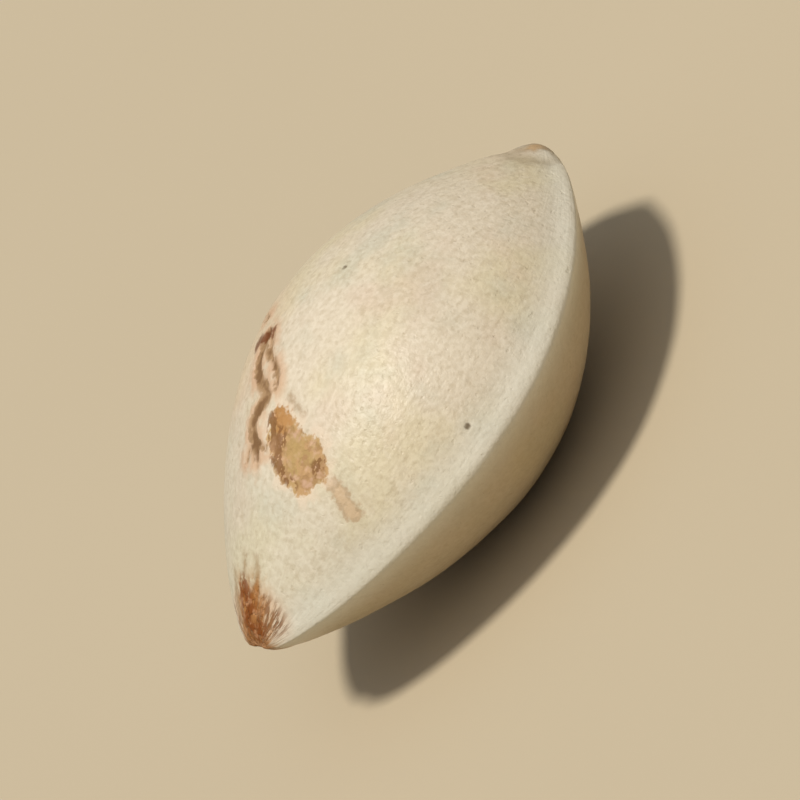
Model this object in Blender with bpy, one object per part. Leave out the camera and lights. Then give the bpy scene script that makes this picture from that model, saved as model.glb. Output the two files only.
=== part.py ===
"""A ginkgo nut in its shell: one lens-shaped stone with a keel down each edge.

The nut lies on its belly. +X runs from the base, where the stalk sat, to the
apex, +Y goes across from keel to keel, and +Z is up. The origin is on the
surface that the nut lies on, under the middle of its box. Units are metres.
"""

import math

import bmesh
import bpy
from mathutils import Vector

MM = 0.001

# Driving sizes of the shell, without the small nub at its apex
BODY_LENGTH = 23.3 * MM
BODY_WIDTH = 17.3 * MM
BODY_THICKNESS = 11.6 * MM

# How the width and the thickness taper: the power of the outline, and how much
# fuller the apex half is than the base half
WIDTH_POWER = 0.955
WIDTH_SKEW = 0.134
THICKNESS_POWER = 1.238
THICKNESS_SKEW = 0.113

# How blunt the two ends are: 0 is the outline's own point, 1 is nearly round
BASE_BLUNTNESS = 0.48
APEX_BLUNTNESS = 0.346

# The belly is a little deeper than the back
BELLY_DEPTH = 1.02

# A cross-section is two arcs that meet at the keels, softened by this share of
# an ellipse so that the keels are not knife edges
SECTION_ROUNDNESS = 0.15

# The raised rim along each keel, and how low it gets at the base
RIM_HEIGHT = 0.16 * MM
RIM_REACH = 0.38 * MM
RIM_BASE_SHARE = 0.45

# The nub at the apex: its size across, how far it stands out, and how far behind
# its top it is widest
NUB_WIDTH = 1.65 * MM
NUB_THICKNESS = 1.15 * MM
NUB_RISE = 0.2 * MM
NUB_DEPTH = 0.2 * MM
NUB_BLEND = 4.0

# The shallow dimple that the stalk left in the base
DIMPLE_DEPTH = 0.1 * MM
DIMPLE_RADIUS = 0.5 * MM

# How much of the belly is lost to the flat spot that the nut rests on
FLAT_CUT = 0.15 * MM

# Faces round the nut and along it, and how far they crowd towards the keels
SIDES = 72
RINGS = 48
KEEL_CROWDING = 0.6

# The shell's dry, chalky surface
SHELL_COLOUR = (0.75, 0.63, 0.45, 1.0)
SHELL_ROUGHNESS = 0.55
SHELL_METALLIC = 0.0

NODE_NAME = "ginkgo_nut"
COLLECTION_NAME = "ginkgo nut in shell"


def remove_all_objects():
    for old in list(bpy.data.objects):
        bpy.data.objects.remove(old, do_unlink=True)


def taper(along, power, skew):
    """The outline's share of full size at a place along the body, from -1 to 1."""
    inside = max(1.0 - along * along, 0.0)
    bluntness = (BASE_BLUNTNESS * (1.0 - along) + APEX_BLUNTNESS * (1.0 + along)) / 2
    rounded = math.sqrt((inside ** 2 + 2 * bluntness * inside) / (1 + 2 * bluntness))
    return rounded ** power * (1.0 + skew * along)


def nub(x, half_size):
    """Half the nub's size at x: a dome with its top beyond the body's tip."""
    share = (BODY_LENGTH / 2 + NUB_RISE - x) / (NUB_RISE + NUB_DEPTH)
    if share <= 0.0 or share >= 2.0:
        return 0.0
    return half_size * math.sqrt(1.0 - (share - 1.0) ** 2)


def blended(first, second):
    """The larger of two sizes, with a small fillet where they are alike."""
    return (first ** NUB_BLEND + second ** NUB_BLEND) ** (1.0 / NUB_BLEND)


def half_sizes(x):
    """Half the width and half the thickness at x, and how round the section is."""
    along = max(-1.0, min(1.0, x / (BODY_LENGTH / 2)))
    width = BODY_WIDTH / 2 * taper(along, WIDTH_POWER, WIDTH_SKEW)
    thickness = BODY_THICKNESS / 2 * taper(along, THICKNESS_POWER, THICKNESS_SKEW)
    nub_thickness = nub(x, NUB_THICKNESS / 2)
    width = blended(width, nub(x, NUB_WIDTH / 2))
    thickness = min(blended(thickness, nub_thickness), width)
    nub_share = nub_thickness / thickness if thickness > 0 else 0.0
    roundness = SECTION_ROUNDNESS + (1.0 - SECTION_ROUNDNESS) * nub_share ** 2
    return width, thickness, min(roundness, 1.0)


def keel_normal(x):
    """The direction square to the keel's outline at x, in the plane of the keels."""
    step = 0.05 * MM
    slope = (half_sizes(x + step)[0] - half_sizes(x - step)[0]) / (2 * step)
    return Vector((-slope, 1.0, 0.0)).normalized()


def rim_height(along):
    """The rim's height at a place along the nut: full at the apex half, none at the tips."""
    fade = min(1.0, (1.0 - along * along) / 0.12)
    towards_apex = 0.5 + 0.5 * math.tanh(3.0 * along + 0.6)
    return RIM_HEIGHT * fade * (RIM_BASE_SHARE + (1.0 - RIM_BASE_SHARE) * towards_apex)


def surface_point(along, turn):
    """A point of the shell.

    `along` runs from -1 at the base to 1 at the apex, and `turn` is the angle
    round the nut: 0 and pi are the keels, and half of pi is the top.
    """
    first = -BODY_LENGTH / 2
    last = BODY_LENGTH / 2 + NUB_RISE
    x = first + (last - first) * (along + 1) / 2
    width, thickness, roundness = half_sizes(x)
    if width < 1e-7 or thickness < 1e-7:
        return Vector((x, 0.0, 0.0))

    below = turn > math.pi
    share = (2 * math.pi - turn if below else turn) / math.pi
    share -= KEEL_CROWDING * math.sin(2 * math.pi * share) / (2 * math.pi)

    radius = (width ** 2 + thickness ** 2) / (2 * thickness)
    half_arc = math.asin(min(1.0, width / radius))
    angle = half_arc * (1 - 2 * share)
    y = radius * math.sin(angle)
    arc_height = radius * math.cos(angle) - (radius - thickness)
    round_height = thickness * math.sqrt(max(0.0, 1 - (y / width) ** 2))
    z = (1 - roundness) * arc_height + roundness * round_height
    if below:
        z *= -BELLY_DEPTH

    from_keel = radius * (half_arc - abs(angle))
    raised = rim_height(along) * math.exp(-((from_keel / RIM_REACH) ** 2))
    outward = keel_normal(x) * raised
    side = 1.0 if y >= 0 else -1.0
    return Vector((x + outward.x, y + side * outward.y, z))


def press_dimple(point):
    """Push a point near the base inwards, into the shallow dimple of the stalk."""
    if point.x < 0:
        off_axis = math.hypot(point.y, point.z) / DIMPLE_RADIUS
        point.x += DIMPLE_DEPTH * math.exp(-(off_axis ** 2))
    return point


def shape_nut(bm):
    """Start from a sphere whose poles become the nut's two ends, and shape it."""
    bmesh.ops.create_uvsphere(bm, u_segments=SIDES, v_segments=RINGS, radius=1.0)
    for vert in bm.verts:
        along = max(-1.0, min(1.0, vert.co.z))
        turn = math.atan2(vert.co.y, vert.co.x) % (2 * math.pi)
        vert.co = press_dimple(surface_point(along, turn))


def cut_resting_flat(bm):
    """Cut the lowest part of the belly away and close it with one flat face."""
    height = min(vert.co.z for vert in bm.verts) + FLAT_CUT
    cut = bmesh.ops.bisect_plane(
        bm,
        geom=bm.verts[:] + bm.edges[:] + bm.faces[:],
        dist=1e-7,
        plane_co=(0.0, 0.0, height),
        plane_no=(0.0, 0.0, 1.0),
        clear_inner=True,
    )
    rim = [item for item in cut["geom_cut"] if isinstance(item, bmesh.types.BMEdge)]
    bmesh.ops.contextual_create(bm, geom=rim)
    bmesh.ops.recalc_face_normals(bm, faces=bm.faces[:])


def stand_on_origin(bm):
    """Put the flat spot at z = 0 and the middle of the nut's box over the origin."""
    lowest = Vector([min(vert.co[axis] for vert in bm.verts) for axis in range(3)])
    highest = Vector([max(vert.co[axis] for vert in bm.verts) for axis in range(3)])
    middle = (lowest + highest) / 2
    bmesh.ops.translate(bm, verts=bm.verts[:], vec=(-middle.x, -middle.y, -lowest.z))


def make_shell_material():
    material = bpy.data.materials.new("dry ginkgo shell")
    material.use_nodes = True
    shader = material.node_tree.nodes["Principled BSDF"]
    shader.inputs["Base Color"].default_value = SHELL_COLOUR
    shader.inputs["Roughness"].default_value = SHELL_ROUGHNESS
    shader.inputs["Metallic"].default_value = SHELL_METALLIC
    material.diffuse_color = SHELL_COLOUR
    return material


def make_nut(collection):
    bm = bmesh.new()
    shape_nut(bm)
    cut_resting_flat(bm)
    stand_on_origin(bm)
    mesh = bpy.data.meshes.new(NODE_NAME)
    bm.to_mesh(mesh)
    bm.free()
    mesh.shade_smooth()
    mesh.set_sharp_from_angle(angle=math.radians(40))
    mesh.materials.append(make_shell_material())
    nut = bpy.data.objects.new(NODE_NAME, mesh)
    collection.objects.link(nut)
    return nut


def main():
    remove_all_objects()
    collection = bpy.data.collections.new(COLLECTION_NAME)
    bpy.context.scene.collection.children.link(collection)
    make_nut(collection)


main()
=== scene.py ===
"""Looks of a ginkgo nut in its shell.

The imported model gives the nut's place and box. A fine mesh of the same form
stands for it here, with the shell's relief, scars and markings, and lies on a
plain pale floor under a sunny studio light. Lengths inside the classes are in
millimetres, and they become metres only where Blender's data is written.
"""

from __future__ import annotations

import logging
import math
from dataclasses import dataclass, field, fields
from enum import Enum
from typing import Any

import bmesh
import bpy
import numpy as np
from mathutils import Matrix, Vector, noise

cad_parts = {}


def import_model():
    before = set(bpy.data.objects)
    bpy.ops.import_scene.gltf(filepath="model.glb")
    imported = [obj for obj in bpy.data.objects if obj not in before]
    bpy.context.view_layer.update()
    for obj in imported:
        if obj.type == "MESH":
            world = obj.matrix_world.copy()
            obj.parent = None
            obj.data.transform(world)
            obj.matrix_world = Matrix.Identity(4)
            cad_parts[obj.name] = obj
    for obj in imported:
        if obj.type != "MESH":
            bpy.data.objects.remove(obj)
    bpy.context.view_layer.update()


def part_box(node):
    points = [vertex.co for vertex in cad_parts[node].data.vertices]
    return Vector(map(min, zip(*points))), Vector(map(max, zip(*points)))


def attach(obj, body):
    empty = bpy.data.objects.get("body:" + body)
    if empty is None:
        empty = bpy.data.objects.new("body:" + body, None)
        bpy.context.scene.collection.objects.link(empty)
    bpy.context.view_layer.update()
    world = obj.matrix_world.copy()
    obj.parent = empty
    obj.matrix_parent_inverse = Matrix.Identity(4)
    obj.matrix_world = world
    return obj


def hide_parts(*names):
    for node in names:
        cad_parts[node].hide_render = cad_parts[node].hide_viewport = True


log = logging.getLogger("ginkgo_nut")

MM = 0.001
# Keeps sizes that are divided by, in mm, above zero
TINY = 1e-6
# Short straight pieces between two neighbouring places of a mark's line or outline
MARK_STEPS = 4
NUT_NODE = "ginkgo_nut"

# Socket numbers of a Mix node that mixes colours
MIX_SHARE = 0
MIX_FIRST = 6
MIX_SECOND = 7
MIX_RESULT = 2


class Face(Enum):
    """The nut's two broad faces, on either side of the plane of its keels."""

    BACK = 1
    BELLY = -1


def linear(hex_colour: str) -> tuple[float, float, float, float]:
    """Turns an sRGB hex colour into linear red, green, blue and alpha.

    Args:
        hex_colour: Colour such as "#E1D0B3".

    Returns:
        Linear values from 0 to 1, with alpha 1.
    """
    channels = [int(hex_colour[i:i + 2], 16) / 255 for i in (1, 3, 5)]
    values = [c / 12.92 if c <= 0.04045 else ((c + 0.055) / 1.055) ** 2.4 for c in channels]
    return values[0], values[1], values[2], 1.0


def add_node(
    tree: bpy.types.NodeTree,
    kind: str,
    settings: dict[str, Any] | None = None,
    inputs: dict[str | int, Any] | None = None,
) -> bpy.types.Node:
    """Adds a shader node with its settings and what goes into its sockets.

    Args:
        tree: Node tree that the node is added to.
        kind: Blender's name for the type of node.
        settings: The node's own properties, by name.
        inputs: What each input gets, by socket name or number: the output socket
            of another node, or a constant.

    Returns:
        The new node.
    """
    node = tree.nodes.new(kind)
    for name, value in (settings or {}).items():
        setattr(node, name, value)
    for socket, value in (inputs or {}).items():
        if isinstance(value, bpy.types.NodeSocket):
            tree.links.new(value, node.inputs[socket])
        else:
            node.inputs[socket].default_value = value
    return node


def smooth_path(places: np.ndarray, closed: bool, steps: int) -> np.ndarray:
    """Runs a smooth curve through given places.

    Args:
        places: Points that the curve passes through, one a row.
        closed: Whether the curve returns to its first point.
        steps: Short straight pieces between two neighbouring points.

    Returns:
        Points along the curve, one a row.
    """
    count = len(places)
    spans = count if closed else count - 1
    curve = []
    for span in range(spans):
        numbers = [span - 1, span, span + 1, span + 2]
        if closed:
            numbers = [number % count for number in numbers]
        else:
            numbers = [min(max(number, 0), count - 1) for number in numbers]
        p0, p1, p2, p3 = places[numbers]
        for step in range(steps):
            t = step / steps
            curve.append(
                0.5 * (2 * p1 + (p2 - p0) * t + (2 * p0 - 5 * p1 + 4 * p2 - p3) * t ** 2
                       + (3 * p1 - p0 - 3 * p2 + p3) * t ** 3)
            )
    curve.append(places[0] if closed else places[-1])
    return np.array(curve)


def distance_to_path(
    points: np.ndarray, path: np.ndarray, widths: np.ndarray | None = None
) -> np.ndarray:
    """Measures how far points lie from a line of short straight pieces.

    Args:
        points: Points in space, one a row.
        path: Points along the line, one a row.
        widths: Half the line's width at each of its points, if it has one.

    Returns:
        The distance of each point from the line, or from the line's side.
    """
    nearest = np.full(len(points), np.inf)
    widths = np.zeros(len(path)) if widths is None else widths
    for number, (start, end) in enumerate(zip(path[:-1], path[1:])):
        span = end - start
        share = np.clip((points - start) @ span / max(span @ span, TINY ** 2), 0, 1)
        gap = np.linalg.norm(points - start - share[:, None] * span, axis=1)
        gap -= widths[number] + (widths[number + 1] - widths[number]) * share
        nearest = np.minimum(nearest, gap)
    return nearest


def inside_outline(places: np.ndarray, outline: np.ndarray) -> np.ndarray:
    """Tells which places lie inside a closed outline.

    Args:
        places: Flat coordinates, one place a row.
        outline: The outline's corners in order, with the first one repeated last.

    Returns:
        True for each place inside.
    """
    inside = np.zeros(len(places), bool)
    x, y = places[:, 0], places[:, 1]
    for (x0, y0), (x1, y1) in zip(outline[:-1], outline[1:]):
        if y0 == y1:
            continue
        crossing = x0 + (y - y0) / (y1 - y0) * (x1 - x0)
        inside ^= ((y0 > y) != (y1 > y)) & (x < crossing)
    return inside


def smoothstep(value: np.ndarray, low: float, high: float) -> np.ndarray:
    """Rises smoothly from 0 at low to 1 at high."""
    share = np.clip((value - low) / (high - low), 0, 1)
    return share * share * (3 - 2 * share)


def field_noise(places: np.ndarray, size: float, octaves: int = 2, seed: float = 0.0) -> np.ndarray:
    """Samples a smooth random field.

    Args:
        places: Where it is sampled, one place a row, in mm.
        size: Rough width of one bump, in mm.
        octaves: How many times finer bumps are added.
        seed: Shift that gives another field.

    Returns:
        Values about 0, mostly within 1 either way.
    """
    shift = Vector((seed, seed * 1.7, seed * 0.6))
    return np.array([
        noise.fractal(Vector(place) + shift, 1.0, 2.0, octaves)
        for place in places / size
    ])


@dataclass
class NutForm:
    """The shell's plain form: two arcs that meet at the keels, a nub and a blunt base.

    The middle of the body is at zero, +X runs to the apex and +Y across the keels.
    """

    length: float = 23.3
    width: float = 17.3
    thickness: float = 11.6
    width_power: float = 0.955
    width_skew: float = 0.134
    thickness_power: float = 1.238
    thickness_skew: float = 0.113
    base_bluntness: float = 0.48
    apex_bluntness: float = 0.346
    belly_depth: float = 1.02
    section_roundness: float = 0.15
    rim_height: float = 0.14
    rim_reach: float = 0.52
    rim_base_share: float = 0.35
    rim_fade: float = 0.12
    rim_swing: float = 3.0
    rim_shift: float = 0.6
    nub_width: float = 1.65
    nub_thickness: float = 1.15
    nub_rise: float = 0.2
    nub_depth: float = 0.2
    nub_blend: float = 4.0
    dimple_depth: float = 0.1
    dimple_radius: float = 0.5
    keel_crowding: float = 0.35
    slope_step: float = 0.05

    def taper(self, along: np.ndarray, power: float, skew: float) -> np.ndarray:
        """Gives the outline's share of full size.

        Args:
            along: Places along the body, from -1 at the base to 1 at the apex.
            power: How fast the outline narrows.
            skew: How much fuller the apex half is than the base half.

        Returns:
            The share at each place.
        """
        inside = np.maximum(1 - along ** 2, 0)
        blunt = (self.base_bluntness * (1 - along) + self.apex_bluntness * (1 + along)) / 2
        rounded = np.sqrt((inside ** 2 + 2 * blunt * inside) / (1 + 2 * blunt))
        return rounded ** power * (1 + skew * along)

    def nub(self, x: np.ndarray, half_size: float) -> np.ndarray:
        """Gives half the size of the nub, a dome with its top beyond the body's tip.

        Args:
            x: Places along the nut.
            half_size: Half the nub's size where it is widest.

        Returns:
            Half the nub's size at each place, and 0 away from it.
        """
        share = (self.length / 2 + self.nub_rise - x) / (self.nub_rise + self.nub_depth)
        return half_size * np.sqrt(np.clip(1 - (share - 1) ** 2, 0, 1))

    def blended(self, first: np.ndarray, second: np.ndarray) -> np.ndarray:
        """Gives the larger of two sizes, with a fillet where they are alike."""
        return (first ** self.nub_blend + second ** self.nub_blend) ** (1 / self.nub_blend)

    def half_sizes(self, x: np.ndarray) -> tuple[np.ndarray, np.ndarray, np.ndarray]:
        """Gives the cross-section's sizes.

        Args:
            x: Places along the nut.

        Returns:
            Half the width, half the thickness, and how round the section is.
        """
        along = np.clip(x / (self.length / 2), -1, 1)
        width = self.width / 2 * self.taper(along, self.width_power, self.width_skew)
        thickness = self.thickness / 2 * self.taper(
            along, self.thickness_power, self.thickness_skew
        )
        nub_thickness = self.nub(x, self.nub_thickness / 2)
        width = self.blended(width, self.nub(x, self.nub_width / 2))
        thickness = np.minimum(self.blended(thickness, nub_thickness), width)
        nub_share = nub_thickness / np.maximum(thickness, TINY)
        roundness = self.section_roundness + (1 - self.section_roundness) * nub_share ** 2
        return width, thickness, np.minimum(roundness, 1)

    def rim(self, along: np.ndarray) -> np.ndarray:
        """Gives the keel rim's height: full in the apex half, none at the two tips.

        Args:
            along: Places along the nut, from -1 at the base to 1 at the apex.

        Returns:
            The rim's height at each place.
        """
        fade = np.minimum(1, (1 - along ** 2) / self.rim_fade)
        towards_apex = 0.5 + 0.5 * np.tanh(self.rim_swing * along + self.rim_shift)
        return self.rim_height * fade * (
            self.rim_base_share + (1 - self.rim_base_share) * towards_apex
        )

    def surface(self, along: np.ndarray, turn: np.ndarray) -> tuple[np.ndarray, np.ndarray]:
        """Gives points of the shell.

        Args:
            along: Places along the nut, from -1 at the base to 1 at the apex.
            turn: Angles round the nut: 0 and pi are the keels, half of pi is the top.

        Returns:
            The points, one a row, and how far round the shell each is from its keel.
        """
        first = -self.length / 2
        last = self.length / 2 + self.nub_rise
        x = first + (last - first) * (along + 1) / 2
        width, thickness, roundness = self.half_sizes(x)
        width = np.maximum(width, TINY)
        thickness = np.maximum(thickness, TINY)

        below = turn > math.pi
        share = np.where(below, 2 * math.pi - turn, turn) / math.pi
        share = share - self.keel_crowding * np.sin(2 * math.pi * share) / (2 * math.pi)

        radius = (width ** 2 + thickness ** 2) / (2 * thickness)
        half_arc = np.arcsin(np.minimum(1, width / radius))
        angle = half_arc * (1 - 2 * share)
        y = radius * np.sin(angle)
        arc_height = radius * np.cos(angle) - (radius - thickness)
        round_height = thickness * np.sqrt(np.clip(1 - (y / width) ** 2, 0, 1))
        z = (1 - roundness) * arc_height + roundness * round_height
        z = np.where(below, -self.belly_depth * z, z)

        from_keel = radius * (half_arc - np.abs(angle))
        raised = self.rim(along) * np.exp(-((from_keel / self.rim_reach) ** 2))
        step = self.slope_step
        slope = (self.half_sizes(x + step)[0] - self.half_sizes(x - step)[0]) / (2 * step)
        steepness = np.sqrt(1 + slope ** 2)
        x = x - raised * slope / steepness
        y = y + np.sign(y) * raised / steepness

        off_axis = np.hypot(y, z) / self.dimple_radius
        x = x + np.where(x < 0, self.dimple_depth * np.exp(-(off_axis ** 2)), 0)
        return np.stack([x, y, z], axis=1), from_keel

    def lift(self, places: np.ndarray, face: Face) -> np.ndarray:
        """Lifts flat places onto one face of the shell.

        Args:
            places: Millimetres along and across, one place a row.
            face: The face that they lie on.

        Returns:
            Points on the shell, one a row.
        """
        x, y = places[:, 0], places[:, 1]
        width, thickness, roundness = self.half_sizes(x)
        radius = (width ** 2 + thickness ** 2) / (2 * thickness)
        y = np.clip(y, -width, width)
        arc_height = np.sqrt(np.maximum(radius ** 2 - y ** 2, 0)) - (radius - thickness)
        round_height = thickness * np.sqrt(np.clip(1 - (y / width) ** 2, 0, 1))
        z = (1 - roundness) * arc_height + roundness * round_height
        if face is Face.BELLY:
            z = -self.belly_depth * z
        return np.stack([x, y, z], axis=1)


class Mark:
    """Something that shows on one face of the shell.

    Places are millimetres towards the apex and across, seen from above the face.
    """

    face: Face

    def gap(self, form: NutForm, points: np.ndarray) -> np.ndarray:
        """Measures how far points lie outside the mark.

        Args:
            form: The shell's plain form.
            points: Points of the shell about the form's middle, one a row.

        Returns:
            The distances, less than 0 inside the mark.
        """
        raise NotImplementedError


@dataclass(frozen=True)
class Trail(Mark):
    """A thin line, such as a crack in the shell or a wisp of dried skin."""

    places: tuple[tuple[float, float], ...]
    half_width: float
    end_half_width: float
    face: Face = Face.BACK

    def gap(self, form: NutForm, points: np.ndarray) -> np.ndarray:
        """Measures how far points lie outside the line.

        Args:
            form: The shell's plain form.
            points: Points of the shell about the form's middle, one a row.

        Returns:
            The distances, less than 0 inside the line's width.
        """
        path = form.lift(smooth_path(np.array(self.places), False, MARK_STEPS), self.face)
        widths = np.linspace(self.half_width, self.end_half_width, len(path))
        return distance_to_path(points, path, widths)


@dataclass(frozen=True)
class Blot(Mark):
    """A stained place with an outline of its own."""

    outline: tuple[tuple[float, float], ...]
    face: Face = Face.BACK

    def gap(self, form: NutForm, points: np.ndarray) -> np.ndarray:
        """Measures how far points lie outside the outline.

        Args:
            form: The shell's plain form.
            points: Points of the shell about the form's middle, one a row.

        Returns:
            The distances, less than 0 inside the outline on its own face.
        """
        outline = smooth_path(np.array(self.outline), True, MARK_STEPS)
        gap = distance_to_path(points, form.lift(outline, self.face))
        inside = inside_outline(points[:, :2], outline)
        return np.where(inside & (points[:, 2] * self.face.value >= 0), -gap, gap)


@dataclass(frozen=True)
class Spot(Mark):
    """A round spot or pit."""

    place: tuple[float, float]
    radius: float
    face: Face = Face.BACK

    def gap(self, form: NutForm, points: np.ndarray) -> np.ndarray:
        """Measures how far points lie outside the spot."""
        centre = form.lift(np.array([self.place]), self.face)[0]
        return np.linalg.norm(points - centre, axis=1) - self.radius


@dataclass
class ShellMarks:
    """What the fruit and its skin left on the shell, by kind of mark."""

    patch: tuple[Mark, ...] = (
        Blot((
            (-3.7, -0.55), (-3.4, -0.9), (-3.4, -1.5), (-3.6, -2.0), (-3.9, -2.45),
            (-4.1, -2.8), (-4.0, -3.2), (-4.1, -3.6), (-4.5, -3.85), (-4.9, -4.0),
            (-5.3, -4.0), (-5.55, -3.65), (-5.85, -3.4), (-6.2, -3.0), (-6.05, -2.35),
            (-5.85, -1.75), (-5.35, -1.3), (-4.95, -0.85), (-4.4, -0.65),
        )),
        Blot(((3.4, 2.7), (4.3, 2.2), (5.2, 2.6), (5.0, 3.4), (4.1, 3.9), (3.3, 3.5)), Face.BELLY),
    )
    amber: tuple[Mark, ...] = (
        Spot((-3.8, -1.35), 0.45),
        Spot((-3.6, -0.95), 0.2),
        Spot((4.3, 3.1), 0.3, Face.BELLY),
    )
    olive: tuple[Mark, ...] = (
        Spot((-4.65, -2.45), 0.42),
        Spot((-5.2, -2.3), 0.3),
        Spot((-4.7, -3.2), 0.2),
    )
    umber: tuple[Mark, ...] = (
        Trail(((-3.8, -0.65), (-4.2, -0.8), (-4.75, -1.05), (-5.2, -1.4)), 0.1, 0.16),
        Spot((-4.5, -1.3), 0.36),
        Trail(((-5.3, -1.5), (-5.7, -2.0), (-5.95, -2.6)), 0.05, 0.0),
        Trail(((-5.2, -3.75), (-5.0, -3.5), (-4.7, -3.7)), 0.08, 0.03),
        Trail(((3.4, 3.4), (4.1, 3.8), (4.8, 3.5)), 0.14, 0.08, Face.BELLY),
    )
    smear: tuple[Mark, ...] = (
        Blot((
            (-5.3, -4.0), (-5.1, -4.3), (-5.2, -4.7), (-5.5, -5.0), (-5.75, -5.35),
            (-6.1, -5.3), (-6.3, -5.0), (-6.15, -4.7), (-5.85, -4.45), (-5.6, -4.1),
        )),
    )
    crack: tuple[Mark, ...] = (
        Trail((
            (-0.55, 2.1), (-1.2, 2.0), (-1.7, 1.9), (-2.25, 1.4), (-2.75, 0.4), (-3.1, 0.15),
            (-3.5, 0.45), (-4.1, 0.7), (-4.5, 0.6), (-4.8, 0.25),
        ), 0.24, 0.26),
        Trail(((-4.8, 0.25), (-5.1, 0.65), (-5.45, 0.7)), 0.2, 0.1),
        Trail(((-4.8, 0.25), (-5.3, -0.1), (-5.7, -0.15)), 0.18, 0.09),
        Trail(((-4.8, 0.1), (-4.95, -0.55)), 0.16, 0.08),
        Trail(((-0.6, 1.6), (-1.2, 1.2), (-1.65, 0.55), (-2.1, -0.1), (-2.55, -0.35)), 0.18, 0.1),
        Trail(((0.3, 3.3), (0.5, 4.1), (1.1, 4.9)), 0.12, 0.02),
        Trail(((2.0, 0.9), (3.0, 1.5), (3.5, 2.6), (4.4, 3.1)), 0.04, 0.14, Face.BELLY),
    )
    crack_head: tuple[Mark, ...] = (
        Trail(((-0.85, 2.9), (-0.6, 2.3), (-0.35, 1.7)), 0.26, 0.16),
    )
    speck: tuple[Mark, ...] = (
        Spot((-1.04, -8.0), 0.14),
        Spot((2.95, -0.65), 0.13),
        Spot((4.8, 4.4), 0.12),
        Spot((-2.0, 6.3), 0.09),
        Spot((2.6, 3.2), 0.11, Face.BELLY),
        Spot((-3.6, -4.6), 0.13, Face.BELLY),
        Spot((-5.0, 2.2), 0.08, Face.BELLY),
    )
    stain: tuple[Mark, ...] = (
        Blot((
            (-9.75, 0.5), (-9.85, 0.0), (-9.7, -0.7), (-10.2, -0.95), (-10.8, -1.05),
            (-11.1, -1.0), (-11.4, -0.7), (-11.4, 0.5), (-11.1, 0.75), (-10.5, 0.65),
        )),
        Spot((-11.6, 0.0), 1.0),
        Blot((
            (-10.2, 0.7), (-10.1, 0.1), (-10.4, -0.6), (-11.3, -0.6), (-11.4, 0.6), (-10.9, 1.0),
        ), Face.BELLY),
        Spot((-11.6, 0.0), 0.9, Face.BELLY),
    )
    wisp: tuple[Mark, ...] = (
        Trail(((-10.0, 0.35), (-9.6, 0.3), (-9.2, 0.2), (-8.7, 0.25)), 0.2, 0.05),
        Trail(((-10.0, -0.6), (-9.5, -0.7), (-8.8, -0.65)), 0.22, 0.06),
        Trail(((-10.6, 1.0), (-9.9, 1.1), (-9.3, 1.2)), 0.18, 0.04),
        Trail(((-2.8, -1.4), (-3.1, -1.9), (-3.3, -2.4)), 0.12, 0.07),
        Trail(((-10.3, 0.2), (-9.8, 0.2), (-9.2, 0.3)), 0.2, 0.05, Face.BELLY),
        Trail(((1.6, -5.6), (2.2, -5.4), (2.8, -5.7), (3.2, -5.6)), 0.14, 0.08, Face.BELLY),
    )
    rust: tuple[Mark, ...] = (
        Trail(((-9.9, 0.3), (-10.2, 0.2), (-10.5, -0.1), (-10.9, 0.0), (-11.1, -0.5)), 0.2, 0.2),
        Trail(((-10.6, 0.3), (-11.1, 0.1)), 0.2, 0.1, Face.BELLY),
    )
    shred: tuple[Mark, ...] = (
        Blot((
            (-9.9, -0.8), (-10.0, -1.4), (-10.4, -2.05), (-10.9, -1.85), (-11.3, -1.0),
            (-11.5, 0.0), (-11.0, -0.6), (-10.4, -0.6),
        )),
        Blot(((-10.3, 0.9), (-10.4, 1.8), (-10.9, 1.6), (-11.3, 0.9))),
        Blot(((-10.0, 0.3), (-9.9, 1.4), (-10.8, 1.6), (-11.3, 0.6)), Face.BELLY),
    )
    crease: tuple[Mark, ...] = (
        Trail((
            (11.15, -1.7), (10.95, -1.5), (10.75, -1.2), (10.7, -0.7), (10.85, -0.1),
            (10.85, 0.6), (10.95, 1.2), (11.2, 1.5),
        ), 0.07, 0.05),
        Trail(((11.2, -1.4), (10.95, -0.9), (10.9, 0.0), (11.0, 0.9)), 0.05, 0.02, Face.BELLY),
    )
    tip: tuple[Mark, ...] = (
        Spot((11.6, -0.3), 0.25),
        Spot((11.7, 0.1), 0.15, Face.BELLY),
    )
    # A real pinkish tone, lightened as painted light reflected from beside the nut
    flush: tuple[Mark, ...] = (
        Spot((-1.0, 3.8), 1.5),
        Spot((2.0, 5.0), 1.5, Face.BELLY),
    )
    far: float = 4.0
    reach_below: float = 2.6

    def measure(self, form: NutForm, points: np.ndarray) -> dict[str, np.ndarray]:
        """Measures how far each point of the shell is from the nearest mark.

        Args:
            form: The shell's plain form.
            points: Points of the shell, one a row.

        Returns:
            Distances by kind of mark: less than 0 inside one.
        """
        kinds = {
            kind.name: getattr(self, kind.name)
            for kind in fields(self) if isinstance(kind.default, tuple)
        }
        found = {f"{name}_mm": np.full(len(points), self.far) for name in kinds}
        for face in Face:
            here = points[:, 2] * face.value >= -self.reach_below
            for name, marks in kinds.items():
                gaps = found[f"{name}_mm"]
                for mark in marks:
                    if mark.face is face:
                        gaps[here] = np.minimum(gaps[here], mark.gap(form, points[here]))
        return found


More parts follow.
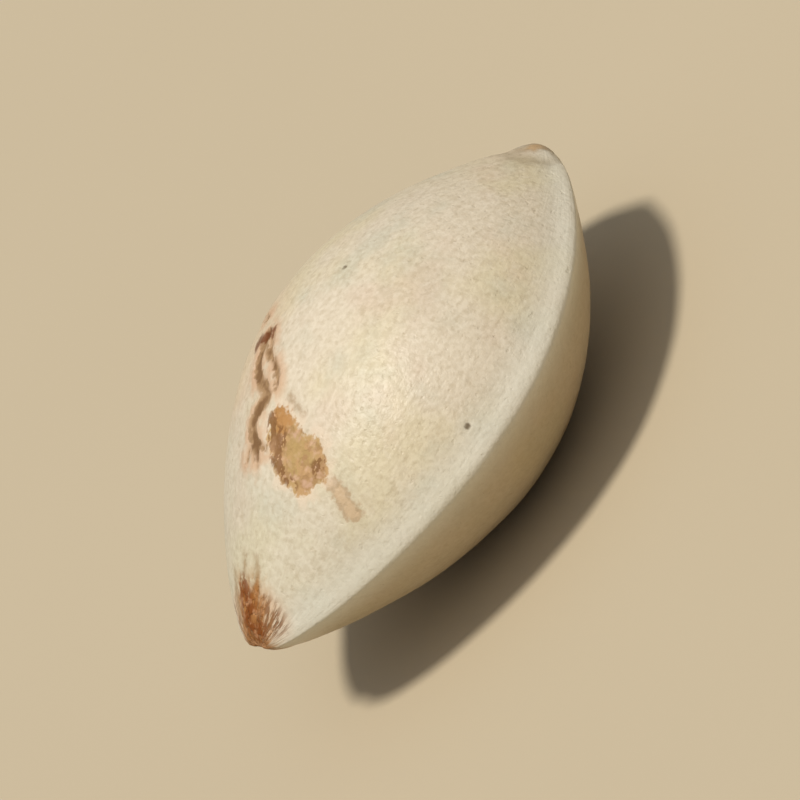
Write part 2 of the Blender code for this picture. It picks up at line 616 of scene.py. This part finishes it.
@dataclass
class ShellRelief:
    """The shell's low relief, as heights above its plain form."""

    dent_size: float = 3.6
    dent_depth: float = 0.03
    ripple_size: float = 1.1
    ripple_depth: float = 0.009
    fibre_width: float = 0.42
    fibre_length: float = 3.0
    fibre_depth: float = 0.005
    wrinkle_width: float = 0.5
    wrinkle_length: float = 2.0
    wrinkle_depth: float = 0.05
    wrinkle_near: float = 0.8
    wrinkle_reach: float = 3.0
    nub_lift: float = 0.06
    nub_near: float = 1.0
    nub_far: float = 1.8
    crease_depth: float = 0.03
    crease_edge: tuple[float, float] = (-0.1, 0.5)
    crack_depth: float = 0.06
    crack_edge: tuple[float, float] = (-0.15, 0.1)
    lip_rise: float = 0.03
    lip_foot: tuple[float, float] = (0.0, 0.15)
    lip_end: tuple[float, float] = (0.2, 0.5)
    patch_depth: float = 0.03
    patch_edge: tuple[float, float] = (-0.15, 0.15)
    speck_depth: float = 0.06
    speck_edge: tuple[float, float] = (-0.1, 0.1)
    dent_seed: float = 3.1
    ripple_seed: float = 8.4
    fibre_seed: float = 5.0
    wrinkle_seed: float = 1.3

    def heights(
        self, points: np.ndarray, fibre: np.ndarray, gaps: dict[str, np.ndarray]
    ) -> np.ndarray:
        """Adds up the relief.

        Args:
            points: Points of the plain form, one a row.
            fibre: The same points rolled out along the shell's fibres.
            gaps: Distances from the marks, the keels and the two tips.

        Returns:
            How far out each point moves; less than 0 is inwards.
        """
        fibre_bumps = np.array([1 / self.fibre_length, 1 / self.fibre_width, 1 / self.fibre_width])
        wrinkle_bumps = np.array(
            [1 / self.wrinkle_length, 1 / self.wrinkle_width, 1 / self.wrinkle_width]
        )
        height = self.dent_depth * field_noise(points, self.dent_size, 2, self.dent_seed)
        height += self.ripple_depth * field_noise(points, self.ripple_size, 3, self.ripple_seed)
        height += self.fibre_depth * field_noise(fibre * fibre_bumps, 1.0, 2, self.fibre_seed)
        wrinkles = field_noise(points * wrinkle_bumps, 1.0, 2, self.wrinkle_seed)
        wrinkled = 1 - smoothstep(gaps["base_mm"], self.wrinkle_near, self.wrinkle_reach)
        height += self.wrinkle_depth * wrinkled * wrinkles
        height += self.nub_lift * (1 - smoothstep(gaps["apex_mm"], self.nub_near, self.nub_far))
        height -= self.crease_depth * (1 - smoothstep(gaps["crease_mm"], *self.crease_edge))
        height -= self.crack_depth * (1 - smoothstep(gaps["crack_mm"], *self.crack_edge))
        beside = smoothstep(gaps["crack_mm"], *self.lip_foot)
        height += self.lip_rise * beside * (1 - smoothstep(gaps["crack_mm"], *self.lip_end))
        height -= self.patch_depth * (1 - smoothstep(gaps["patch_mm"], *self.patch_edge))
        height -= self.speck_depth * (1 - smoothstep(gaps["speck_mm"], *self.speck_edge))
        return height


@dataclass(frozen=True)
class Pattern:
    """A noise pattern, from the real size in mm of what it draws.

    Values of the noise below low give 0, and above high give 1. With a length, it
    is drawn out along the nut.
    """

    size: float
    low: float
    high: float
    length: float = 0.0
    detail: float = 2.0
    seed: float = 0.0


@dataclass(frozen=True)
class Edge:
    """How a tint fades out from a mark: full up to one distance in mm, gone at another.

    A ragged edge is shifted in and out by a pattern, by its raggedness altogether.
    """

    mark: str
    full: float
    none: float
    pattern: str = ""
    raggedness: float = 0.0


@dataclass(frozen=True)
class DryGinkgoShell:
    """Finish of a ginkgo nut's stone: thin hard wood, washed and dried in the air.

    It gives the eye a pale cream, chalky surface with a faint satin gloss where the
    sun strikes, soft yellow and grey-green clouds, a very fine grain along the nut,
    and red-brown fibres of the old fruit at the base. It also has painted shade: a
    browner underside, and grey-brown in and below the crease under the nub.
    """

    cream: str = "#E4D8C2"
    straw: str = "#E0D4B2"
    sage: str = "#CBCAB6"
    blush: str = "#DFCAB4"
    warm: str = "#E3C6A8"
    # Partly the shell's real pinkish tone, partly painted reflected light
    keel_pale: str = "#E5E3D4"
    fleck_dark: str = "#A8946F"
    fleck_light: str = "#EEE4D0"
    stain_edge: str = "#C09C6E"
    stain: str = "#A46928"
    stain_dark: str = "#6B3D12"
    stain_pink: str = "#DCA97E"
    rust: str = "#7E3E04"
    shred: str = "#7F4F20"
    wisp: str = "#9A7A50"
    # Painted shade: the browner tint of the underside below the keels
    belly: str = "#B19B76"
    halo: str = "#E8D2B8"
    lips: str = "#D2AA86"
    patch: str = "#BE9562"
    patch_dark: str = "#95704A"
    amber: str = "#B8854C"
    olive: str = "#B89C64"
    umber: str = "#7F5730"
    patch_pink: str = "#E2BCA4"
    smear: str = "#AC8A64"
    smear_pale: str = "#D5BB98"
    crack: str = "#9C7A50"
    crack_dark: str = "#6F4D2A"
    crack_red: str = "#6E3810"
    speck: str = "#67553A"
    nub: str = "#917950"
    tip: str = "#C6A172"
    # Painted shade: the grey-brown in and below the crease under the nub
    crease: str = "#94805A"
    ior: float = 1.5
    specular: float = 0.25
    roughness: float = 0.38
    stained_roughness: float = 0.75

    def make(self) -> bpy.types.Material:
        """Makes the shell's material.

        Returns:
            The material, which reads distances that the nut's mesh carries.
        """
        material = bpy.data.materials.new("dry_ginkgo_shell")
        material.use_nodes = True
        tree = material.node_tree
        tree.nodes.clear()
        masks = self._masks(tree)
        shader = add_node(tree, "ShaderNodeBsdfPrincipled", {}, {
            "Base Color": self._colour(tree, masks),
            "Roughness": self._gloss(tree, masks),
            "Normal": self._bump(tree, masks),
            "IOR": self.ior,
            "Specular IOR Level": self.specular,
        })
        add_node(tree, "ShaderNodeOutputMaterial", {}, {"Surface": shader.outputs["BSDF"]})
        return material

    def _carried(
        self, tree: bpy.types.NodeTree, name: str, output: str = "Fac"
    ) -> bpy.types.NodeSocket:
        """Gives a value that the mesh carries at its points."""
        return add_node(tree, "ShaderNodeAttribute", {"attribute_name": name}).outputs[output]

    def _pattern(
        self, tree: bpy.types.NodeTree, place: bpy.types.NodeSocket, pattern: Pattern
    ) -> bpy.types.NodeSocket:
        """Draws a noise pattern.

        Args:
            tree: The material's nodes.
            place: Coordinates in mm, the first one along the nut.
            pattern: The pattern.

        Returns:
            A value from 0 to 1.
        """
        across = 1 / pattern.size
        along = 1 / (pattern.length or pattern.size)
        scaled = add_node(tree, "ShaderNodeMapping", {}, {
            "Vector": place,
            "Scale": (along, across, across),
            "Location": (pattern.seed, pattern.seed * 0.37, pattern.seed * 1.9),
        })
        grain = add_node(tree, "ShaderNodeTexNoise", {}, {
            "Vector": scaled.outputs["Vector"],
            "Scale": 1.0,
            "Detail": pattern.detail,
        })
        return add_node(tree, "ShaderNodeMapRange", {"interpolation_type": "SMOOTHSTEP"}, {
            "Value": grain.outputs["Fac"],
            "From Min": pattern.low,
            "From Max": pattern.high,
        }).outputs["Result"]

    def _near(
        self, tree: bpy.types.NodeTree, gap: bpy.types.NodeSocket, edge: Edge,
        masks: dict[str, bpy.types.NodeSocket],
    ) -> bpy.types.NodeSocket:
        """Gives 1 near something and 0 away from it.

        Args:
            tree: The material's nodes.
            gap: Distance in mm.
            edge: Where the value fades out.
            masks: Patterns, by name, that can shift the edge.

        Returns:
            A value from 0 to 1.
        """
        if edge.pattern:
            gap = add_node(tree, "ShaderNodeMath", {"operation": "MULTIPLY_ADD"}, {
                0: masks[edge.pattern], 1: edge.raggedness, 2: gap,
            }).outputs[0]
        return add_node(tree, "ShaderNodeMapRange", {"interpolation_type": "SMOOTHSTEP"}, {
            "Value": gap,
            "From Min": edge.full + edge.raggedness / 2,
            "From Max": edge.none + edge.raggedness / 2,
            "To Min": 1.0,
            "To Max": 0.0,
        }).outputs["Result"]

    def _height(self, tree: bpy.types.NodeTree, place: bpy.types.NodeSocket) -> bpy.types.NodeSocket:
        """Gives how high a place is above the surface that the nut lies on, in mm."""
        return add_node(tree, "ShaderNodeSeparateXYZ", {}, {"Vector": place}).outputs["Z"]

    def _both(
        self, tree: bpy.types.NodeTree, first: bpy.types.NodeSocket, second: Any
    ) -> bpy.types.NodeSocket:
        """Gives the product of two values."""
        return add_node(
            tree, "ShaderNodeMath", {"operation": "MULTIPLY"}, {0: first, 1: second}
        ).outputs[0]

    def _masks(self, tree: bpy.types.NodeTree) -> dict[str, bpy.types.NodeSocket]:
        """Draws where each tint of the shell shows.

        Args:
            tree: The material's nodes.

        Returns:
            Values from 0 to 1, by name.
        """
        metres = add_node(tree, "ShaderNodeTexCoord").outputs["Object"]
        place = add_node(
            tree, "ShaderNodeMapping", {}, {"Vector": metres, "Scale": (1 / MM,) * 3}
        ).outputs["Vector"]
        fibre = self._carried(tree, "fibre_mm", "Vector")
        # Clouds a few millimetres wide, and flecks and pores a few tenths of one
        patterns = {
            "straw": Pattern(4.5, 0.42, 0.66, seed=2.0),
            "sage": Pattern(2.6, 0.46, 0.7, seed=7.0, detail=3),
            "blush": Pattern(3.2, 0.48, 0.7, seed=13.0),
            "fleck": Pattern(0.3, 0.5, 0.7, seed=4.0),
            "light": Pattern(0.38, 0.5, 0.7, seed=9.0),
            "pore": Pattern(0.3, 0.66, 0.78, seed=33.0, detail=1),
            "mottle": Pattern(0.8, 0.42, 0.62, seed=1.0),
            "blotch": Pattern(0.5, 0.46, 0.6, seed=21.0),
            "grit": Pattern(0.22, 0.3, 0.7, seed=17.0, detail=3),
            "crumb": Pattern(0.24, 0.48, 0.58, length=0.4, seed=41.0, detail=3),
        }
        masks = {name: self._pattern(tree, place, kind) for name, kind in patterns.items()}
        # Fibres run from tip to tip, and their widths hold 7 mm from the nut's axis:
        # 0.6 mm there is a fibre of about 0.1 mm in the scar round the base
        fibres = {
            "fibre": Pattern(0.16, 0.45, 0.75, length=1.6, seed=5.0),
            "streak": Pattern(0.7, 0.42, 0.6, length=0.7, seed=6.0, detail=3),
            "frayed": Pattern(0.55, 0.42, 0.58, length=0.45, seed=52.0, detail=3),
        }
        masks |= {name: self._pattern(tree, fibre, kind) for name, kind in fibres.items()}
        edges = {
            "keel": Edge("keel", 0.2, 2.0),
            # Pinkish tone, partly real and partly painted reflected light
            "base_half": Edge("base", 5.0, 11.0),
            "warm": Edge("flush", 0.0, 2.5),
            "nub": Edge("apex", 0.5, 1.6, "grit", 0.4),
            # Painted shade in and below the crease under the nub
            "crease": Edge("crease", -0.2, 0.75, "blotch", 0.2),
            "tip": Edge("tip", -0.15, 0.35, "grit", 0.2),
            "stain_edge": Edge("stain", -0.3, 0.9, "streak", 0.4),
            "stain": Edge("stain", -0.5, 0.4, "streak", 0.4),
            "rust": Edge("rust", -0.2, 0.45, "crumb", 0.4),
            "shred_edge": Edge("shred", -0.3, 0.6),
            "shred": Edge("shred", -0.4, 0.4),
            "halo": Edge("patch", -0.1, 0.6, "mottle", 0.4),
            "patch": Edge("patch", -0.1, 0.12, "grit", 0.25),
            "amber": Edge("amber", -0.1, 0.25, "grit", 0.3),
            "olive": Edge("olive", -0.1, 0.25, "crumb", 0.3),
            "umber": Edge("umber", -0.05, 0.15, "crumb", 0.3),
            "smear": Edge("smear", -0.12, 0.14, "grit", 0.25),
            "smear_core": Edge("smear", -0.3, -0.1, "blotch", 0.2),
            "lips": Edge("crack", -0.05, 0.65, "mottle", 0.35),
            "crack": Edge("crack", -0.14, 0.16, "blotch", 0.2),
            "crack_core": Edge("crack", -0.24, 0.0, "mottle", 0.25),
            "crack_head": Edge("crack_head", -0.1, 0.22, "grit", 0.25),
            "speck": Edge("speck", -0.06, 0.05),
            "wisp": Edge("wisp", -0.15, 0.25, "grit", 0.25),
        }
        masks |= {
            name: self._near(tree, self._carried(tree, f"{edge.mark}_mm"), edge, masks)
            for name, edge in edges.items()
        }
        masks["shred"] = self._both(tree, masks["shred"], masks["frayed"])
        # The belly's browner tint stands for the deep shade that it has in the photograph.
        # It comes in round the keels, which are 5.8 mm up
        below = Edge("height", 4.4, 6.4)
        masks["belly"] = self._near(tree, self._height(tree, place), below, masks)
        return masks

    def _colour(
        self, tree: bpy.types.NodeTree, masks: dict[str, bpy.types.NodeSocket]
    ) -> bpy.types.NodeSocket:
        """Lays the shell's tints over each other.

        Args:
            tree: The material's nodes.
            masks: Where each tint shows.

        Returns:
            The colour.
        """
        in_patch = [
            (self._both(tree, masks["patch"], masks[name]), tint, strength)
            for name, tint, strength in (
                ("mottle", self.olive, 0.5),
                ("blotch", self.patch_dark, 0.45),
                ("light", self.patch_pink, 0.5),
            )
        ]
        in_stain = [
            (self._both(tree, masks["stain"], masks["streak"]), self.stain_dark, 0.6),
            (masks["rust"], self.rust, 0.8),
            (self._both(tree, masks["stain"], masks["light"]), self.stain_pink, 0.5),
        ]
        layers = [
            (masks["straw"], self.straw, 0.75),
            (masks["sage"], self.sage, 0.5),
            (masks["blush"], self.blush, 0.5),
            (masks["base_half"], self.sage, 0.35),
            # Pinkish tone, partly real and partly painted reflected light
            (masks["warm"], self.warm, 0.45),
            (masks["fleck"], self.fleck_dark, 0.21),
            (masks["light"], self.fleck_light, 0.24),
            (masks["grit"], self.fleck_dark, 0.23),
            (masks["fibre"], self.fleck_dark, 0.07),
            (masks["pore"], self.fleck_dark, 0.16),
            (masks["keel"], self.keel_pale, 0.6),
            # Painted shade on the underside below the keels
            (masks["belly"], self.belly, 0.6),
            (masks["nub"], self.nub, 0.65),
            # Painted shade in and below the crease under the nub
            (masks["crease"], self.crease, 0.45),
            (masks["tip"], self.tip, 0.7),
            (masks["stain_edge"], self.stain_edge, 0.6),
            (masks["shred_edge"], self.stain_pink, 0.3),
            (masks["wisp"], self.wisp, 0.6),
            (masks["shred"], self.shred, 0.8),
            (masks["stain"], self.stain, 0.85),
            *in_stain,
            (masks["smear"], self.smear, 0.65),
            (masks["smear_core"], self.smear_pale, 0.75),
            (masks["halo"], self.halo, 0.55),
            (masks["patch"], self.patch, 0.9),
            *in_patch,
            (masks["amber"], self.amber, 0.75),
            (masks["olive"], self.olive, 0.6),
            (masks["umber"], self.umber, 0.8),
            (masks["lips"], self.lips, 0.72),
            (masks["crack"], self.crack, 0.75),
            (masks["crack_core"], self.crack_dark, 0.65),
            (self._both(tree, masks["crack"], masks["crumb"]), self.crack_dark, 0.25),
            (masks["crack_head"], self.crack_red, 0.85),
            (masks["speck"], self.speck, 0.85),
        ]
        colour: Any = linear(self.cream)
        for mask, tint, strength in layers:
            mixed = add_node(tree, "ShaderNodeMix", {"data_type": "RGBA"}, {
                MIX_SHARE: self._both(tree, mask, strength),
                MIX_FIRST: colour,
                MIX_SECOND: linear(tint),
            })
            colour = mixed.outputs[MIX_RESULT]
        return colour

    def _gloss(
        self, tree: bpy.types.NodeTree, masks: dict[str, bpy.types.NodeSocket]
    ) -> bpy.types.NodeSocket:
        """Makes the patch and the stained base rougher than the bare shell.

        Args:
            tree: The material's nodes.
            masks: Where each tint shows.

        Returns:
            The roughness.
        """
        rougher = add_node(
            tree, "ShaderNodeMath", {"operation": "MAXIMUM"}, {0: masks["patch"], 1: masks["stain"]}
        )
        return add_node(tree, "ShaderNodeMapRange", {}, {
            "Value": rougher.outputs[0], "To Min": self.roughness, "To Max": self.stained_roughness,
        }).outputs["Result"]

    def _bump(
        self, tree: bpy.types.NodeTree, masks: dict[str, bpy.types.NodeSocket]
    ) -> bpy.types.NodeSocket:
        """Adds relief that is finer than the mesh, as heights in mm.

        Args:
            tree: The material's nodes.
            masks: Where each tint shows.

        Returns:
            The bent normal.
        """
        heights = [
            (masks["fibre"], -0.003),
            (masks["grit"], 0.008),
            (masks["fleck"], -0.006),
            (masks["pore"], -0.012),
            (masks["crack"], -0.03),
            (self._both(tree, masks["stain"], masks["crumb"]), -0.04),
            (masks["shred"], -0.03),
            (self._both(tree, masks["patch"], masks["blotch"]), -0.02),
        ]
        total: Any = 0.0
        for mask, height in heights:
            total = add_node(tree, "ShaderNodeMath", {"operation": "MULTIPLY_ADD"}, {
                0: mask, 1: height, 2: total,
            }).outputs[0]
        return add_node(
            tree, "ShaderNodeBump", {}, {"Height": total, "Distance": MM, "Strength": 1.0}
        ).outputs["Normal"]


@dataclass
class NutShell:
    """The whole nut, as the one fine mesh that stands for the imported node."""

    form: NutForm = field(default_factory=NutForm)
    relief: ShellRelief = field(default_factory=ShellRelief)
    marks: ShellMarks = field(default_factory=ShellMarks)
    finish: DryGinkgoShell = field(default_factory=DryGinkgoShell)
    sides: int = 400
    rings: int = 240
    fibre_radius: float = 7.0
    profile_samples: int = 2001

    def build(self) -> bpy.types.Object:
        """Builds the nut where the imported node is.

        Returns:
            The nut's object, which rides on the root body.
        """
        mesh = bpy.data.meshes.new("nut_shell")
        bm = bmesh.new()
        bmesh.ops.create_uvsphere(bm, u_segments=self.sides, v_segments=self.rings, radius=1.0)
        bm.to_mesh(mesh)
        bm.free()
        ball = self._read(mesh)
        along = np.clip(ball[:, 2], -1, 1)
        turn = np.arctan2(ball[:, 1], ball[:, 0]) % (2 * math.pi)
        points, keel_gap = self.form.surface(along, turn)
        self._write(mesh, points)
        outward = np.array([vertex.vector for vertex in mesh.vertex_normals])

        fibre = np.stack(
            [points[:, 0], self.fibre_radius * np.cos(turn), self.fibre_radius * np.sin(turn)], 1
        )
        base_tip = np.array([points[:, 0].min(), 0, 0])
        apex_tip = np.array([points[:, 0].max(), 0, 0])
        carried = self.marks.measure(self.form, points)
        carried["keel_mm"] = keel_gap
        carried["base_mm"] = np.linalg.norm(points - base_tip, axis=1)
        carried["apex_mm"] = np.linalg.norm(points - apex_tip, axis=1)
        heights = self.relief.heights(points, fibre, carried)
        points = points + outward * heights[:, None]
        self._write(mesh, self._placed(points))
        for name, values in carried.items():
            attribute = mesh.attributes.new(name, "FLOAT", "POINT")
            attribute.data.foreach_set("value", values.astype(np.float32))
        attribute = mesh.attributes.new("fibre_mm", "FLOAT_VECTOR", "POINT")
        attribute.data.foreach_set("vector", fibre.astype(np.float32).ravel())
        mesh.shade_smooth()
        mesh.materials.append(self.finish.make())

        nut = bpy.data.objects.new("nut_shell", mesh)
        bpy.context.scene.collection.objects.link(nut)
        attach(nut, "root")
        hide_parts(NUT_NODE)
        log.info("nut_shell: %d points, %d faces", len(mesh.vertices), len(mesh.polygons))
        return nut

    def _placed(self, points: np.ndarray) -> np.ndarray:
        """Moves points from the form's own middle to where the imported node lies.

        Args:
            points: Points about the form's middle, one a row.

        Returns:
            Points in the row frame, with none below the surface that the nut lies on.
        """
        low, high = (np.array(corner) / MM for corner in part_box(NUT_NODE))
        plain_top = self.form.thickness / 2 * self.form.taper(
            np.linspace(-1, 1, self.profile_samples), self.form.thickness_power, self.form.thickness_skew
        ).max()
        middle = np.array([
            high[0] - self.form.length / 2 - self.form.nub_rise, 0, high[2] - plain_top
        ])
        placed = points + middle
        placed[:, 2] = np.maximum(placed[:, 2], low[2])
        return placed

    def _read(self, mesh: bpy.types.Mesh) -> np.ndarray:
        """Reads the mesh's points.

        Args:
            mesh: The mesh.

        Returns:
            The points, one a row.
        """
        values = np.zeros(len(mesh.vertices) * 3, np.float32)
        mesh.vertices.foreach_get("co", values)
        return values.reshape(-1, 3).astype(float)

    def _write(self, mesh: bpy.types.Mesh, points: np.ndarray) -> None:
        """Writes points in mm to the mesh in metres."""
        mesh.vertices.foreach_set("co", (points * MM).astype(np.float32).ravel())
        mesh.update()


@dataclass(frozen=True)
class MattPaper:
    """Finish of the floor: matt, uncoated paper board, a warm off-white."""

    white: str = "#C3B59A"
    shade: str = "#BEB095"
    cloud_size: float = 40.0
    roughness: float = 0.9

    def make(self) -> bpy.types.Material:
        """Makes the floor's material.

        Returns:
            The material.
        """
        material = bpy.data.materials.new("matt_paper")
        material.use_nodes = True
        tree = material.node_tree
        tree.nodes.clear()
        place = add_node(tree, "ShaderNodeTexCoord").outputs["Object"]
        clouds = add_node(tree, "ShaderNodeTexNoise", {}, {
            "Vector": place, "Scale": 1 / (self.cloud_size * MM), "Detail": 2.0,
        })
        colour = add_node(tree, "ShaderNodeMix", {"data_type": "RGBA"}, {
            MIX_SHARE: clouds.outputs["Fac"],
            MIX_FIRST: linear(self.white),
            MIX_SECOND: linear(self.shade),
        })
        shader = add_node(tree, "ShaderNodeBsdfPrincipled", {}, {
            "Base Color": colour.outputs[MIX_RESULT], "Roughness": self.roughness,
        })
        add_node(tree, "ShaderNodeOutputMaterial", {}, {"Surface": shader.outputs["BSDF"]})
        return material


@dataclass(frozen=True)
class SoftSun:
    """A far light: its strength, how wide it looks in degrees, and where it comes from."""

    name: str
    strength: float
    softness: float
    towards: tuple[float, float, float]
    colour: str

    def hang(self) -> None:
        """Adds the light to the scene."""
        light = bpy.data.lights.new(self.name, "SUN")
        light.energy = self.strength
        light.angle = math.radians(self.softness)
        light.color = linear(self.colour)[:3]
        lamp = bpy.data.objects.new(self.name, light)
        lamp.rotation_euler = Vector(self.towards).to_track_quat("Z", "Y").to_euler()
        bpy.context.scene.collection.objects.link(lamp)


@dataclass
class Studio:
    """The pale floor, the sunny light and the camera at the photograph's angle."""

    floor_size: float = 3000.0
    key: SoftSun = SoftSun("key", 2.59, 9.0, (-0.14, -0.12, 0.98), "#FFF8EE")
    fill: SoftSun = SoftSun("fill", 0.28, 60.0, (-0.15, -0.65, 0.74), "#FFF8F0")
    sky_colour: str = "#E9EEF5"
    sky_strength: float = 0.5
    backdrop: str = "#C9BEA9"
    # How the nut is turned in the photograph, in degrees: about its own length,
    # out of the picture's plane, and round in the picture
    roll: float = -61.15
    pitch: float = 11.0
    yaw: float = 60.3
    camera_distance: float = 1000.0
    nearest_seen: float = 50.0
    view_width: float = 32.0
    sensor_width: float = 36.0
    aim: tuple[float, float, float] = (-0.14, 0.0, 5.78)

    def build(self) -> None:
        """Builds the floor, the lights and the camera."""
        self._floor()
        self.key.hang()
        self.fill.hang()
        self._sky()
        self._camera()
        bpy.context.scene.view_settings.view_transform = "Standard"

    def _floor(self) -> None:
        """Lays the floor under the nut."""
        mesh = bpy.data.meshes.new("floor")
        bm = bmesh.new()
        bmesh.ops.create_grid(bm, x_segments=1, y_segments=1, size=self.floor_size / 2 * MM)
        bm.to_mesh(mesh)
        bm.free()
        mesh.materials.append(MattPaper().make())
        floor = bpy.data.objects.new("floor", mesh)
        bpy.context.scene.collection.objects.link(floor)
        log.info("floor: %.0f mm wide", self.floor_size)

    def _sky(self) -> None:
        """Fills the shade with a pale light, full overhead and none at the horizon.

        The camera sees a plain pale backdrop there instead.
        """
        world = bpy.data.worlds.new("sky")
        world.use_nodes = True
        tree = world.node_tree
        tree.nodes.clear()
        direction = add_node(tree, "ShaderNodeTexCoord").outputs["Generated"]
        height = add_node(tree, "ShaderNodeSeparateXYZ", {}, {"Vector": direction}).outputs["Z"]
        strength = add_node(tree, "ShaderNodeMapRange", {}, {
            "Value": height, "From Min": 0.0, "From Max": 1.0, "To Max": self.sky_strength,
        }).outputs["Result"]
        light = add_node(tree, "ShaderNodeBackground", {}, {
            "Color": linear(self.sky_colour), "Strength": strength,
        })
        seen = add_node(tree, "ShaderNodeBackground", {}, {"Color": linear(self.backdrop)})
        chosen = add_node(tree, "ShaderNodeMixShader", {}, {
            0: add_node(tree, "ShaderNodeLightPath").outputs["Is Camera Ray"],
            1: light.outputs["Background"],
            2: seen.outputs["Background"],
        })
        add_node(tree, "ShaderNodeOutputWorld", {}, {"Surface": chosen.outputs["Shader"]})
        bpy.context.scene.world = world

    def _camera(self) -> None:
        """Puts the camera where it sees the nut as the photograph does."""
        turned = (
            Matrix.Rotation(math.radians(self.yaw), 3, "Z")
            @ Matrix.Rotation(math.radians(self.pitch), 3, "Y")
            @ Matrix.Rotation(math.radians(self.roll), 3, "X")
        )
        facing = turned.transposed()
        data = bpy.data.cameras.new("camera")
        data.sensor_width = self.sensor_width
        data.lens = self.sensor_width * self.camera_distance / self.view_width
        data.clip_start = self.nearest_seen * MM
        camera = bpy.data.objects.new("camera", data)
        towards_camera = facing @ Vector((0, 0, 1))
        place = (Vector(self.aim) + towards_camera * self.camera_distance) * MM
        camera.matrix_world = Matrix.Translation(place) @ facing.to_4x4()
        bpy.context.scene.collection.objects.link(camera)
        bpy.context.scene.camera = camera


def main() -> None:
    """Builds the nut and the studio."""
    logging.basicConfig(level=logging.INFO, format="%(name)s: %(message)s")
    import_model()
    NutShell().build()
    Studio().build()


if __name__ == "__main__":
    main()
